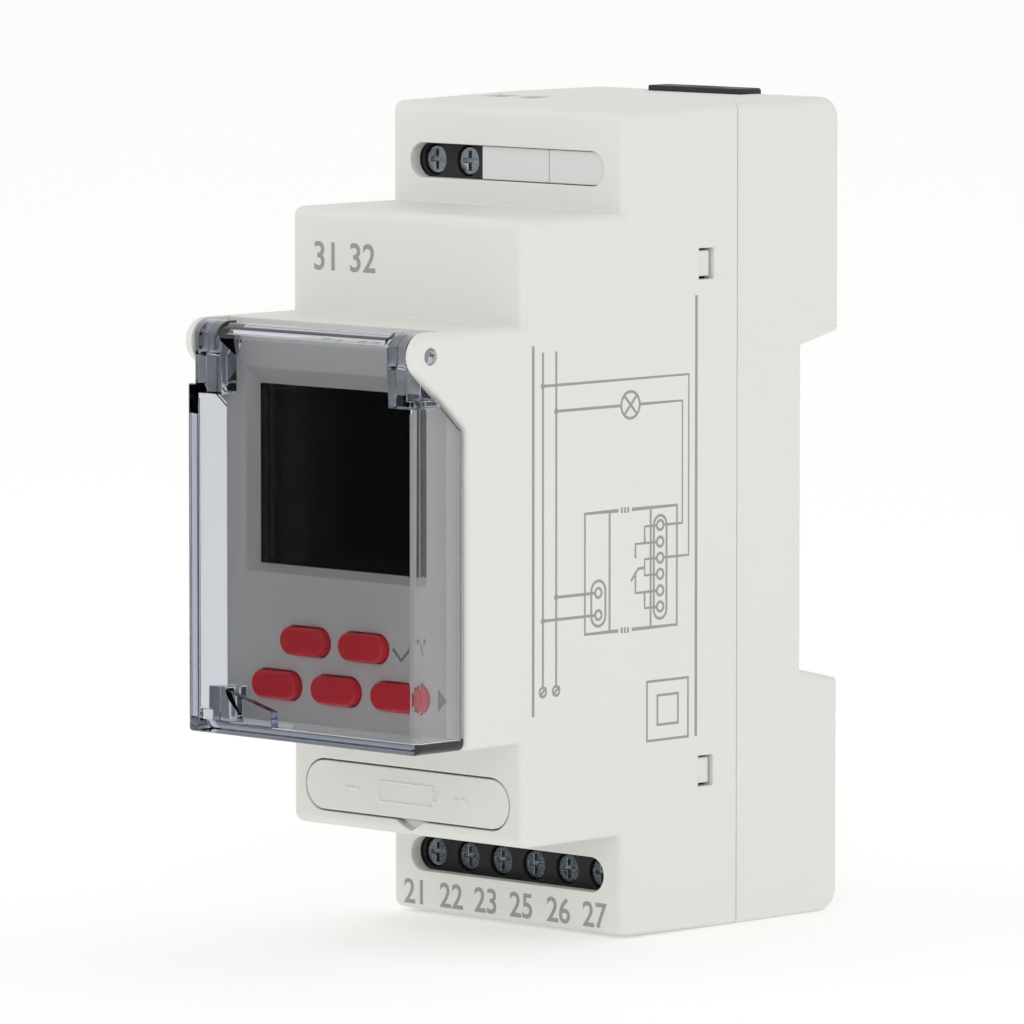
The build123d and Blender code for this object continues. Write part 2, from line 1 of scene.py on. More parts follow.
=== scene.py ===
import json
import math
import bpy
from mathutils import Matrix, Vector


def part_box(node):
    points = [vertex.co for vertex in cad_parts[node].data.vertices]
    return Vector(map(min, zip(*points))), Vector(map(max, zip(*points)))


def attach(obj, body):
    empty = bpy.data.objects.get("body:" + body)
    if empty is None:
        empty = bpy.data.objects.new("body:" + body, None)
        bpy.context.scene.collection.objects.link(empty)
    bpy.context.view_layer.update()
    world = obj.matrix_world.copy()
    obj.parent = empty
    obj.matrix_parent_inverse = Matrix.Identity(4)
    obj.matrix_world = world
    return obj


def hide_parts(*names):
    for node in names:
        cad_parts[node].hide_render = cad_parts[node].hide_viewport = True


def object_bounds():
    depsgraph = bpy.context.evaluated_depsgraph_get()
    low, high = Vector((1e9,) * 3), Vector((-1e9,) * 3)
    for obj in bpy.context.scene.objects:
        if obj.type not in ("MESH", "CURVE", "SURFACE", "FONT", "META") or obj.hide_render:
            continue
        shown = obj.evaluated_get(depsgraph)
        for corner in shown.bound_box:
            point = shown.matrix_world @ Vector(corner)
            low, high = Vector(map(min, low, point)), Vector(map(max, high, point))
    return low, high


bl_info = {
    "name": "Rail timer",
    "version": (1, 0, 0),
    "blender": (4, 5, 0),
    "location": "View3D > Sidebar > Timer",
    "description": "Builds the visible surfaces of a two-module rail timer around its fixed frame",
    "category": "Object",
}

import bpy
from mathutils import Vector

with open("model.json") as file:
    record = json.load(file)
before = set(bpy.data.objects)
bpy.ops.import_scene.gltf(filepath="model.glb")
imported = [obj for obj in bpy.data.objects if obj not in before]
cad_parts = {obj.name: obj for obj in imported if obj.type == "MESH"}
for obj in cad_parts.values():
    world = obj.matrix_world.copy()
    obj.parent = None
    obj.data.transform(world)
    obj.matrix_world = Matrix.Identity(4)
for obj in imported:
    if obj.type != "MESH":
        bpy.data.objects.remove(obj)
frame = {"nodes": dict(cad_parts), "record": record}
CAD_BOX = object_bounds()

MM = 0.001
MICRON = 0.000001
RECORD = frame["record"]
BODY_OF = {n: body for body, nodes in RECORD["behaviour"]["bodies"].items() for n in nodes}
SLOT_OF = {part["node"]: part["material_slot"] for part in RECORD["subparts"]}

# Faces that the printed marks and the labels lie on, read from the frame
CASE_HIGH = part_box("front_housing")[1]
SIDE_X = CASE_HIGH.x
COVER_SIDE_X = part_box("front_cover")[1].x
SHOULDER_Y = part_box("battery_drawer")[0].y
BUTTON_RISE = 1.0 * MM  # how far a button stands proud of its panel
PANEL_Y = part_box("button_ok")[0].y + BUTTON_RISE
INSERT_RECESS = 0.6 * MM  # how far the inserts lie behind the terminals' face
TERMINAL_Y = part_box("blanking_insert_1")[0].y - INSERT_RECESS
# The cover's pivot, the snap windows in the sides, and the middle of the rail clips' slots
HINGE_Y, HINGE_Z = -58.3 * MM, 19.9 * MM
WINDOW_Y, WINDOW_Z = -15.6 * MM, 27.65 * MM
CLIP_SLOT_Y = 2.85 * MM
SHARP_EDGE = math.radians(38)  # faces that meet at more than this get a rounded edge


def linear(code):
    """An sRGB hex colour as linear red, green and blue."""
    channels = [int(code[i:i + 2], 16) / 255 for i in (1, 3, 5)]
    return tuple(c / 12.92 if c <= 0.04045 else ((c + 0.055) / 1.055) ** 2.4 for c in channels)


# ---- Sizes and colours that a user would change ------------------------------------------
class TimerSizes(bpy.types.PropertyGroup):
    case_round: bpy.props.FloatProperty(
        name="Case edge", description="Radius of the case's long outer edges",
        default=0.9 * MM, min=0.1 * MM, max=1.2 * MM, unit="LENGTH")
    small_round: bpy.props.FloatProperty(
        name="Small edge", description="Radius of the edges of openings and small pieces",
        default=0.14 * MM, min=0.02 * MM, max=0.3 * MM, unit="LENGTH")
    ink_depth: bpy.props.FloatProperty(
        name="Ink depth", description="How far the printed ink stands proud",
        default=0.02 * MM, min=0.005 * MM, max=0.1 * MM, unit="LENGTH")
    line_width: bpy.props.FloatProperty(
        name="Print line", description="Width of a thin line of the printed diagram",
        default=0.32 * MM, min=0.1 * MM, max=1 * MM, unit="LENGTH")
    number_height: bpy.props.FloatProperty(
        name="Number height", description="Height of the terminal numbers",
        default=2.65 * MM, min=1 * MM, max=4 * MM, unit="LENGTH")
    emboss_depth: bpy.props.FloatProperty(
        name="Emboss", description="Height of the raised signs on the battery drawer",
        default=0.16 * MM, min=0.05 * MM, max=0.5 * MM, unit="LENGTH")


class TimerColours(bpy.types.PropertyGroup):
    case: bpy.props.FloatVectorProperty(
        name="Case", description="Pale warm grey of the two shells", subtype="COLOR",
        default=linear("#E4E4DF"), min=0, max=1)
    insert: bpy.props.FloatVectorProperty(
        name="Inserts", description="Cooler grey of the blanking inserts", subtype="COLOR",
        default=linear("#E0E0E0"), min=0, max=1)
    button: bpy.props.FloatVectorProperty(
        name="Buttons", description="Red of the five buttons", subtype="COLOR",
        default=linear("#F4303E"), min=0, max=1)
    ink: bpy.props.FloatVectorProperty(
        name="Ink", description="Grey of the printed marks", subtype="COLOR",
        default=linear("#9C9C97"), min=0, max=1)
    smoke: bpy.props.FloatVectorProperty(
        name="Smoke", description="Tint that light takes inside the smoked cover", subtype="COLOR",
        default=linear("#7489B4"), min=0, max=1)
    floor: bpy.props.FloatVectorProperty(
        name="Floor", description="Pale floor and backdrop", subtype="COLOR",
        default=linear("#F6F6F5"), min=0, max=1)


# ---- Helpers ------------------------------------------------------------------------------
def sizes():
    return bpy.context.scene.timer_sizes


def colours():
    return bpy.context.scene.timer_colours


def deselect():
    if bpy.context.object and bpy.context.object.mode != "OBJECT":
        bpy.ops.object.mode_set(mode="OBJECT")
    bpy.ops.object.select_all(action="DESELECT")


def make_active(piece):
    deselect()
    piece.select_set(True)
    bpy.context.view_layer.objects.active = piece


def apply_place(piece):
    """Put the piece's place into its mesh."""
    make_active(piece)
    bpy.ops.object.transform_apply(location=True, rotation=True, scale=True)


def paint(piece, material):
    piece.data.materials.clear()
    piece.data.materials.append(material)


def hand_over(piece, body, material, angle=35):
    """Smooth a finished piece, give it its material and let it ride on its body."""
    paint(piece, material)
    make_active(piece)
    bpy.ops.object.shade_smooth_by_angle(angle=math.radians(angle))
    even = piece.modifiers.new("even shading", "WEIGHTED_NORMAL")
    even.keep_sharp = True
    bpy.ops.object.modifier_apply(modifier=even.name)
    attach(piece, body)
    return piece


def edge_ends(piece, edge):
    return [piece.data.vertices[index].co for index in edge.vertices]


def select_edges(piece, chosen):
    """Select, in object mode, these edges and nothing else."""
    for flags in (piece.data.vertices, piece.data.polygons, piece.data.edges):
        flags.foreach_set("select", [False] * len(flags))
    for edge in chosen:
        edge.select = True


def moulding(node, edge, cuts=(), outline=None, outline_edge=0.0, segments=3, leave=None):
    """A copy of a frame node with flat faces made whole and its edges rounded. cuts are planes,
    each an axis and a position, that keep a seam through the holes of the flat faces, because an
    edge rounds cleanly only beside a face without holes. outline picks edges for a first, larger
    round, and leave picks the edges that stay sharp."""
    piece = bpy.data.objects.new(f"{node}_moulding", frame["nodes"][node].data.copy())
    bpy.context.scene.collection.objects.link(piece)
    make_active(piece)
    bpy.ops.object.mode_set(mode="EDIT")
    bpy.ops.mesh.select_mode(type="EDGE")
    bpy.ops.mesh.select_all(action="SELECT")
    bpy.ops.mesh.remove_doubles(threshold=MICRON)
    bpy.ops.mesh.customdata_custom_splitnormals_clear()
    for axis, position in cuts:
        normal = [0.0, 0.0, 0.0]
        normal["XYZ".index(axis)] = 1.0
        bpy.ops.mesh.select_all(action="SELECT")
        bpy.ops.mesh.bisect(plane_co=[n * position for n in normal], plane_no=normal)
        bpy.ops.mesh.mark_seam(clear=False)
    bpy.ops.mesh.select_all(action="SELECT")
    bpy.ops.mesh.dissolve_limited(angle_limit=math.radians(0.5), delimit={"SEAM"})
    if outline:
        bpy.ops.object.mode_set(mode="OBJECT")
        select_edges(piece, [e for e in piece.data.edges
                             if not e.use_seam and outline(*edge_ends(piece, e))])
        bpy.ops.object.mode_set(mode="EDIT")
        bpy.ops.mesh.bevel(offset=outline_edge, segments=5, affect="EDGES", clamp_overlap=False)
    bpy.ops.mesh.select_all(action="DESELECT")
    bpy.ops.mesh.edges_select_sharp(sharpness=SHARP_EDGE)
    bpy.ops.object.mode_set(mode="OBJECT")
    if leave:
        select_edges(piece, [e for e in piece.data.edges
                             if e.select and not leave(*edge_ends(piece, e))])
    bpy.ops.object.mode_set(mode="EDIT")
    bpy.ops.mesh.bevel(offset=edge, segments=segments, affect="EDGES", clamp_overlap=False)
    bpy.ops.object.mode_set(mode="OBJECT")
    return piece


def replace_node(node, material, edge, **shape):
    """Show a rounded moulding in place of a frame node."""
    piece = hand_over(moulding(node, edge, **shape), BODY_OF[node], material)
    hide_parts(node)
    return piece


def nodes_like(prefix):
    return sorted(n for n in BODY_OF if n.startswith(prefix))


def arc(centre, radius, start, end, steps=12):
    """Points along an arc. Its start and end are angles in degrees."""
    angles = [math.radians(start + (end - start) * i / steps) for i in range(steps + 1)]
    return [(centre[0] + radius * math.cos(a), centre[1] + radius * math.sin(a)) for a in angles]


def circle(centre, radius):
    return arc(centre, radius, 0, 360, 28)


def pill(centre, radius, half_length):
    """A closed outline with round ends, long in the second direction."""
    top = arc((centre[0], centre[1] + half_length), radius, 0, 180)
    bottom = arc((centre[0], centre[1] - half_length), radius, 180, 360)
    return top + bottom + top[:1]


def strokes(name, runs, width, depth, place):
    """Flat raised lines. Each run is a list of points in millimetres on a face, and place puts
    a point and a height over that face into the object's space."""
    curve = bpy.data.curves.new(name, "CURVE")
    curve.dimensions = "3D"
    curve.bevel_depth = width / 2
    curve.bevel_resolution = 2
    curve.use_fill_caps = True
    for run in runs:
        closed = math.dist(run[0], run[-1]) < 1e-6
        points = run[:-1] if closed else run
        spline = curve.splines.new("POLY")
        spline.points.add(len(points) - 1)
        for point, (u, v) in zip(spline.points, points):
            point.co = (u * MM, v * MM, 0, 1)
        spline.use_cyclic_u = closed
    piece = bpy.data.objects.new(name, curve)
    bpy.context.scene.collection.objects.link(piece)
    make_active(piece)
    bpy.ops.object.convert(target="MESH")
    flatten = depth / (width / 2)
    for vertex in piece.data.vertices:
        u, v, w = vertex.co
        vertex.co = place(u, v, w * flatten)
    make_active(piece)
    bpy.ops.object.mode_set(mode="EDIT")
    bpy.ops.mesh.select_all(action="SELECT")
    bpy.ops.mesh.normals_make_consistent(inside=False)
    bpy.ops.object.mode_set(mode="OBJECT")
    return piece


def on_side(u, v, w):
    """A point of the right-hand face, from its depth, its height and its height over the face."""
    return Vector((SIDE_X + w, u, v))


def on_front(y):
    """A function that puts points on a face that looks forwards."""
    return lambda u, v, w: Vector((u, y - w, v))


def number(text, x, z, y, height, depth):
    """A printed sign on a face that looks forwards, centred at x and z."""
    deselect()
    bpy.ops.object.text_add(location=(x, y, z), rotation=(math.pi / 2, 0, 0))
    sign = bpy.context.object
    sign.data.body = text
    sign.data.align_x = "CENTER"
    sign.data.align_y = "CENTER"
    sign.data.size = height / 0.69
    sign.data.offset = 0.012 * sign.data.size
    sign.data.extrude = depth
    sign.data.resolution_u = 6
    bpy.ops.object.convert(target="MESH")
    sign = bpy.context.object
    sign.scale.x = 0.95
    apply_place(sign)
    return sign


def solid_triangle(name, corners, depth):
    """A filled printed triangle on the button panel."""
    deselect()
    bpy.ops.mesh.primitive_circle_add(vertices=3, radius=MM, fill_type="NGON")
    piece = bpy.context.object
    piece.name = name
    for vertex, (x, z) in zip(piece.data.vertices, corners):
        vertex.co = (x * MM, PANEL_Y, z * MM)
    bpy.ops.object.mode_set(mode="EDIT")
    bpy.ops.mesh.select_all(action="SELECT")
    bpy.ops.mesh.extrude_region_move(TRANSFORM_OT_translate={"value": (0, -depth, 0)})
    bpy.ops.mesh.select_all(action="SELECT")
    bpy.ops.mesh.normals_make_consistent(inside=False)
    bpy.ops.object.mode_set(mode="OBJECT")
    return piece


def join(pieces, name):
    deselect()
    for piece in pieces:
        piece.select_set(True)
    bpy.context.view_layer.objects.active = pieces[0]
    bpy.ops.object.join()
    whole = bpy.context.object
    whole.name = name
    return whole


# ---- Materials ----------------------------------------------------------------------------
MADE = {}


def add(tree, kind, sockets=None, **settings):
    """Add a node with its settings, its socket values and its links."""
    made = tree.nodes.new(kind)
    for key, value in settings.items():
        setattr(made, key, value)
    for key, value in (sockets or {}).items():
        if isinstance(value, bpy.types.NodeSocket):
            tree.links.new(value, made.inputs[key])
        else:
            made.inputs[key].default_value = value
    return made


def blank(name):
    """A new material, its tree and its empty output."""
    material = bpy.data.materials.new(name)
    material.use_nodes = True
    tree = material.node_tree
    tree.nodes.clear()
    output = add(tree, "ShaderNodeOutputMaterial")
    return material, tree, output


def shade(rgb, factor):
    return tuple(min(1.0, c * factor) for c in rgb[:3]) + (1.0,)


def surface(name, colour, roughness, grain, height, spread=0.03, mottle=9.0, **extra):
    """A moulded or coated surface: slow colour drift, fine grain in roughness and in relief.
    grain and mottle are sizes in millimetres, and height is in microns."""
    material, tree, output = blank(name)
    place = add(tree, "ShaderNodeTexCoord").outputs["Object"]
    drift = add(tree, "ShaderNodeTexNoise",
                {"Vector": place, "Scale": 1 / (mottle * MM), "Detail": 3.0, "Roughness": 0.55})
    tint = add(tree, "ShaderNodeMix",
               {"Factor": drift.outputs["Fac"]}, data_type="RGBA")
    tint.inputs[6].default_value = shade(colour, 1 - spread)
    tint.inputs[7].default_value = shade(colour, 1 + spread)
    fine = add(tree, "ShaderNodeTexNoise",
               {"Vector": place, "Scale": 1 / (grain * MM), "Detail": 2.0, "Roughness": 0.6})
    gloss = add(tree, "ShaderNodeMapRange",
                {"Value": fine.outputs["Fac"], "From Min": 0.3, "From Max": 0.7,
                 "To Min": max(0.0, roughness - 0.05), "To Max": roughness + 0.05})
    relief = add(tree, "ShaderNodeBump",
                 {"Height": fine.outputs["Fac"], "Strength": 1.0, "Distance": height * MICRON})
    shader = add(tree, "ShaderNodeBsdfPrincipled",
                 {"Base Color": tint.outputs[2], "Roughness": gloss.outputs["Result"],
                  "Normal": relief.outputs["Normal"], **extra})
    tree.links.new(shader.outputs["BSDF"], output.inputs["Surface"])
    return material


def polycarbonate_case():
    # Moulded polycarbonate blend from a spark-eroded mould: an even, fine matt grain, drawn at
    # 0.35 mm, coarser than the real 0.1 mm, so that it shows.
    return surface("spark eroded polycarbonate", colours().case, 0.48, 0.35, 14, 0.012, 14.0,
                   **{"IOR": 1.58, "Specular IOR Level": 0.42, "Subsurface Weight": 0.06,
                      "Subsurface Radius": (0.6 * MM, 0.55 * MM, 0.5 * MM)})


def polycarbonate_insert():
    # The same plastic from a smoother mould, a little cooler in colour.
    return surface("smooth polycarbonate", colours().insert, 0.4, 0.3, 6, 0.012, 8.0,
                   **{"IOR": 1.58, "Specular IOR Level": 0.45})


def red_button_abs():
    # ABS from a satin mould: a soft highlight along the crown.
    return surface("satin red abs", colours().button, 0.36, 0.25, 8, 0.03, 3.0,
                   **{"IOR": 1.54, "Specular IOR Level": 0.5, "Subsurface Weight": 0.05,
                      "Subsurface Radius": (0.5 * MM, 0.1 * MM, 0.1 * MM)})


def black_polyamide():
    # Polyamide with short glass fibre: near black, with a faint dull bloom.
    return surface("glass filled polyamide", linear("#15171A"), 0.5, 0.22, 12, 0.15, 2.5,
                   **{"IOR": 1.53})


def bright_metal(name, colour, roughness, scratch, height):
    """Plated metal: long faint scratches in roughness and relief. scratch is in millimetres."""
    material, tree, output = blank(name)
    place = add(tree, "ShaderNodeTexCoord").outputs["Object"]
    drawn = add(tree, "ShaderNodeMapping", {"Vector": place, "Scale": (1.0, 0.15, 1.0)})
    lines = add(tree, "ShaderNodeTexNoise",
                {"Vector": drawn.outputs["Vector"], "Scale": 1 / (scratch * MM), "Detail": 4.0})
    gloss = add(tree, "ShaderNodeMapRange",
                {"Value": lines.outputs["Fac"], "From Min": 0.3, "From Max": 0.7,
                 "To Min": roughness * 0.7, "To Max": roughness * 1.4})
    tint = add(tree, "ShaderNodeMix", {"Factor": lines.outputs["Fac"]}, data_type="RGBA")
    tint.inputs[6].default_value = shade(colour, 0.86)
    tint.inputs[7].default_value = shade(colour, 1.08)
    relief = add(tree, "ShaderNodeBump",
                 {"Height": lines.outputs["Fac"], "Strength": 0.6, "Distance": height * MICRON})
    shader = add(tree, "ShaderNodeBsdfPrincipled",
                 {"Base Color": tint.outputs[2], "Metallic": 1.0,
                  "Roughness": gloss.outputs["Result"], "Normal": relief.outputs["Normal"]})
    tree.links.new(shader.outputs["BSDF"], output.inputs["Surface"])
    return material


def zinc_plate():
    # Blue-passivated zinc on steel: bright and cool, with a fine drawn grain.
    return bright_metal("blue zinc plated steel", linear("#AAB4BA"), 0.26, 0.2, 6)


def nickel_can():
    # Drawn nickel-plated steel: the coin cell and the crystal's can.
    return bright_metal("drawn nickel plated steel", linear("#CFCBC2"), 0.2, 0.3, 3)


def tinned_copper():
    # Stamped copper alloy with a thin tin coat, so it is pale with a warm cast.
    return bright_metal("tinned copper strip", linear("#C8A882"), 0.3, 0.25, 4)


def smoked_polycarbonate():
    # Clear polycarbonate with a smoke dye: polished faces, and edges that go dark because light
    # runs a long way through them. The dye's colour and density are set for a 1.3 mm wall.
    material, tree, output = blank("smoked clear polycarbonate")
    place = add(tree, "ShaderNodeTexCoord").outputs["Object"]
    ripple = add(tree, "ShaderNodeTexNoise",
                 {"Vector": place, "Scale": 1 / (9 * MM), "Detail": 1.0})
    relief = add(tree, "ShaderNodeBump",
                 {"Height": ripple.outputs["Fac"], "Strength": 0.3, "Distance": 20 * MICRON})
    shader = add(tree, "ShaderNodeBsdfPrincipled",
                 {"Base Color": (1.0, 1.0, 1.0, 1.0), "Roughness": 0.02, "IOR": 1.58,
                  "Transmission Weight": 1.0, "Normal": relief.outputs["Normal"]})
    dye = add(tree, "ShaderNodeVolumeAbsorption",
              {"Color": tuple(colours().smoke) + (1.0,), "Density": 120.0})
    tree.links.new(shader.outputs["BSDF"], output.inputs["Surface"])
    tree.links.new(dye.outputs["Volume"], output.inputs["Volume"])
    return material


def acrylic_lens():
    # Clear cast acrylic over the display: polished, with a breath of dust in its gloss.
    material, tree, output = blank("clear cast acrylic")
    place = add(tree, "ShaderNodeTexCoord").outputs["Object"]
    dust = add(tree, "ShaderNodeTexNoise",
               {"Vector": place, "Scale": 1 / (0.6 * MM), "Detail": 5.0})
    haze = add(tree, "ShaderNodeMapRange",
               {"Value": dust.outputs["Fac"], "From Min": 0.4, "From Max": 0.8,
                "To Min": 0.01, "To Max": 0.06})
    shader = add(tree, "ShaderNodeBsdfPrincipled",
                 {"Base Color": linear("#C9D2CF") + (1.0,), "Roughness": haze.outputs["Result"],
                  "IOR": 1.49, "Transmission Weight": 1.0})
    tree.links.new(shader.outputs["BSDF"], output.inputs["Surface"])
    return material


def display_glass():
    # Display glass with its polariser, switched off: near black with a green cast, and a faint
    # grid of electrodes 0.9 mm apart.
    material, tree, output = blank("unlit display glass")
    place = add(tree, "ShaderNodeTexCoord").outputs["Object"]
    turned = add(tree, "ShaderNodeMapping", {"Vector": place, "Rotation": (math.pi / 2, 0, 0)})
    cells = add(tree, "ShaderNodeTexBrick",
                {"Vector": turned.outputs["Vector"], "Scale": 1 / MM, "Mortar Size": 0.03,
                 "Brick Width": 0.9, "Row Height": 0.9,
                 "Color1": linear("#131A19") + (1.0,), "Color2": linear("#141B1A") + (1.0,),
                 "Mortar": linear("#0F1514") + (1.0,)}, offset=0.0)
    shader = add(tree, "ShaderNodeBsdfPrincipled",
                 {"Base Color": cells.outputs["Color"], "Roughness": 0.12, "IOR": 1.52})
    tree.links.new(shader.outputs["BSDF"], output.inputs["Surface"])
    return material


def printed_ink():
    # Pad-printed grey ink: thin, dull and slightly uneven.
    return surface("grey pad print ink", colours().ink, 0.6, 0.18, 3, 0.04, 1.2)


def solder_mask_laminate():
    # Epoxy glass laminate under green solder mask, with tracks 1.3 mm apart showing through.
    material, tree, output = blank("green masked laminate")
    place = add(tree, "ShaderNodeTexCoord").outputs["Object"]
    tracks = add(tree, "ShaderNodeTexBrick",
                 {"Vector": place, "Scale": 1 / MM, "Mortar Size": 0.12, "Brick Width": 4.0,
                  "Row Height": 1.3, "Color1": linear("#175C33") + (1.0,),
                  "Color2": linear("#1B6A3A") + (1.0,), "Mortar": linear("#0E4224") + (1.0,)})
    relief = add(tree, "ShaderNodeBump",
                 {"Height": tracks.outputs["Fac"], "Strength": 0.5, "Distance": 35 * MICRON},
                 invert=True)
    shader = add(tree, "ShaderNodeBsdfPrincipled",
                 {"Base Color": tracks.outputs["Color"], "Roughness": 0.32, "IOR": 1.55,
                  "Normal": relief.outputs["Normal"]})
    tree.links.new(shader.outputs["BSDF"], output.inputs["Surface"])
    return material


def striped_silicone():
    # Layered silicone, clear and carbon-loaded in turn, each layer 0.2 mm thick.
    material, tree, output = blank("layered contact silicone")
    place = add(tree, "ShaderNodeTexCoord").outputs["Object"]
    layers = add(tree, "ShaderNodeTexWave",
                 {"Vector": place, "Scale": 1 / (0.4 * MM) / 20, "Distortion": 0.0},
                 bands_direction="X")
    tint = add(tree, "ShaderNodeValToRGB", {"Fac": layers.outputs["Fac"]})
    tint.color_ramp.elements[0].color = linear("#2A2A2C") + (1.0,)
    tint.color_ramp.elements[1].color = linear("#C9C7C2") + (1.0,)
    shader = add(tree, "ShaderNodeBsdfPrincipled",
                 {"Base Color": tint.outputs["Color"], "Roughness": 0.7, "IOR": 1.41})
    tree.links.new(shader.outputs["BSDF"], output.inputs["Surface"])
    return material


def component(name, code, roughness, grain, height):
    """The coat or case of a board component."""
    return surface(name, linear(code), roughness, grain, height, 0.06, 2.0)


RECIPES = {
    "housing": polycarbonate_case,
    "insert": polycarbonate_insert,
    "smoked_cover": smoked_polycarbonate,
    "button": red_button_abs,
    "black_plastic": black_polyamide,
    "zinc": zinc_plate,
    "contact_metal": tinned_copper,
    "window": acrylic_lens,
    "lcd": display_glass,
    "board": solder_mask_laminate,
    "rubber": striped_silicone,
    "bright_steel": nickel_can,
    "ink": printed_ink,
    # Shrunk vinyl sleeve, semi-gloss
    "sleeve": lambda: component("shrunk vinyl sleeve", "#20243A", 0.35, 0.3, 5),
    # Polyester box filled with resin, dull
    "film_yellow": lambda: component("polyester capacitor box", "#D8A22C", 0.5, 0.3, 9),
    # Polyester relay case, satin
    "relay_blue": lambda: component("polyester relay case", "#1F3F7C", 0.4, 0.25, 7),
    # Pressed and sintered ferrite, stone-like
    "ferrite": lambda: component("sintered ferrite", "#2B2A2C", 0.65, 0.2, 20),
    # Dipped epoxy, glossy and uneven
    "varistor_blue": lambda: component("dipped blue epoxy", "#1D5DA8", 0.22, 0.8, 40),
    # Cement coat, dull green-grey
    "resistor_body": lambda: component("cement resistor coat", "#7C927F", 0.7, 0.2, 18),
}


def material_for(slot):
    if slot not in MADE:
        MADE[slot] = RECIPES[slot]()
    return MADE[slot]


# ---- Pieces --------------------------------------------------------------------------------
def near(value, target):
    return abs(value - target) < 0.02 * MM


def middle(node):
    """The middle of a frame node's box."""
    low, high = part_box(node)
    return (Vector(low) + Vector(high)) / 2


def case_cuts():
    """Planes through every hole in the flat faces of the two shells."""
    levels = [middle(n).z for n in ("button_ok", "button_plus", "display_window", "battery_drawer")]
    levels += [middle(n).z for n in ("screw_upper_1", "screw_lower_1")]
    levels += [HINGE_Z, WINDOW_Z, -WINDOW_Z]
    depths = [middle("cage_upper_1").y, CLIP_SLOT_Y]
    return [("Z", level) for level in levels] + [("Y", depth) for depth in depths]


def at_hinge_hole(a, b):
    """Edges of the two ears' holes, which are too near the cover's pegs to be rounded."""
    return all(math.hypot(p.y - HINGE_Y, p.z - HINGE_Z) < 1.5 * MM for p in (a, b))


def case_outline(a, b):
    """Edges round the side faces of a shell, without the windows, the ear holes and the seam."""
    if not (near(abs(a.x), SIDE_X) and near(abs(b.x), SIDE_X) and a.x * b.x > 0):
        return False
    point = (a + b) / 2
    at_seam = abs(point.y - CASE_HIGH.y) < 0.15 * MM
    in_window = abs(point.y - WINDOW_Y) < 1.5 * MM and abs(abs(point.z) - WINDOW_Z) < 2.5 * MM
    at_hinge = math.hypot(point.y - HINGE_Y, point.z - HINGE_Z) < 1.5 * MM
    return not (at_seam or in_window or at_hinge)


class TIMER_OT_case(bpy.types.Operator):
    """Build the two shells of the case"""
    bl_idname = "timer.case"
    bl_label = "Case"

    def execute(self, context):
        plastic = material_for("housing")
        for node in ("front_housing", "rear_housing"):
            replace_node(node, plastic, sizes().small_round, cuts=case_cuts(), leave=at_hinge_hole,
                         outline=case_outline, outline_edge=sizes().case_round)
        return {"FINISHED"}


def at_flange_top(a, b):
    """Edges at the top of the cover's side walls, too short and crowded to be rounded."""
    return any(abs(p.x) > COVER_SIDE_X - 1.6 * MM and p.y < HINGE_Y
               and 13 * MM < p.z < 14.6 * MM for p in (a, b))


class TIMER_OT_cover(bpy.types.Operator):
    """Build the smoked cover"""
    bl_idname = "timer.cover"
    bl_label = "Cover"

    def execute(self, context):
        replace_node("front_cover", material_for("smoked_cover"), 0.18 * MM, segments=4,
                     leave=at_flange_top)
        return {"FINISHED"}


class TIMER_OT_display(bpy.types.Operator):
    """Build the lens, the display glass and its frame"""
    bl_idname = "timer.display"
    bl_label = "Display"

    def execute(self, context):
        replace_node("display_window", material_for("window"), 0.1 * MM)
        replace_node("lcd_panel", material_for("lcd"), 0.08 * MM)
        replace_node("lcd_frame", material_for("black_plastic"), 0.1 * MM)
        paint(frame["nodes"]["zebra_connectors"], material_for("rubber"))
        return {"FINISHED"}


class TIMER_OT_buttons(bpy.types.Operator):
    """Build the five buttons and their switches"""
    bl_idname = "timer.buttons"
    bl_label = "Buttons"

    def execute(self, context):
        for node in nodes_like("button_"):
            replace_node(node, material_for("button"), 0.06 * MM)
        for node in nodes_like("plunger_") + ["tact_switches"]:
            paint(frame["nodes"][node], material_for(SLOT_OF[node]))
        return {"FINISHED"}


class TIMER_OT_battery(bpy.types.Operator):
    """Build the battery drawer with its raised signs, and what it holds"""
    bl_idname = "timer.battery"
    bl_label = "Battery drawer"

    def execute(self, context):
        replace_node("battery_drawer", material_for("housing"), 0.12 * MM)
        level = middle("battery_drawer").z / MM
        # a cell seen from the side, between a plus and a minus
        body = [(-4.0, level - 1.1), (4.0, level - 1.1), (4.0, level + 1.1), (-4.0, level + 1.1),
                (-4.0, level - 1.1)]
        stud = [(4.0, level - 0.5), (4.7, level - 0.5), (4.7, level + 0.5), (4.0, level + 0.5)]
        plus = [[(7.2, level), (9.2, level)], [(8.2, level - 1.0), (8.2, level + 1.0)]]
        minus = [[(-9.2, level), (-7.2, level)]]
        signs = strokes("battery_signs", [body, stud] + plus + minus, 0.42 * MM,
                        sizes().emboss_depth, on_front(SHOULDER_Y))
        hand_over(signs, BODY_OF["battery_drawer"], material_for("housing"))
        replace_node("coin_cell", material_for("bright_steel"), 0.08 * MM)
        for node in ("battery_guide", "battery_contact_minus", "battery_contact_plus"):
            paint(frame["nodes"][node], material_for(SLOT_OF[node]))
        return {"FINISHED"}


class TIMER_OT_terminals(bpy.types.Operator):
    """Build the terminal blocks, screws, cages and blanking inserts"""
    bl_idname = "timer.terminals"
    bl_label = "Terminals"

    def execute(self, context):
        for node in nodes_like("terminal_block") + nodes_like("blanking_insert"):
            replace_node(node, material_for(SLOT_OF[node]), 0.12 * MM)
        for node in nodes_like("screw_"):
            replace_node(node, material_for("zinc"), 0.05 * MM)
        for node in nodes_like("cage_"):
            replace_node(node, material_for("zinc"), 0.08 * MM)
        for node in nodes_like("contact_strips"):
            paint(frame["nodes"][node], material_for("contact_metal"))
        return {"FINISHED"}


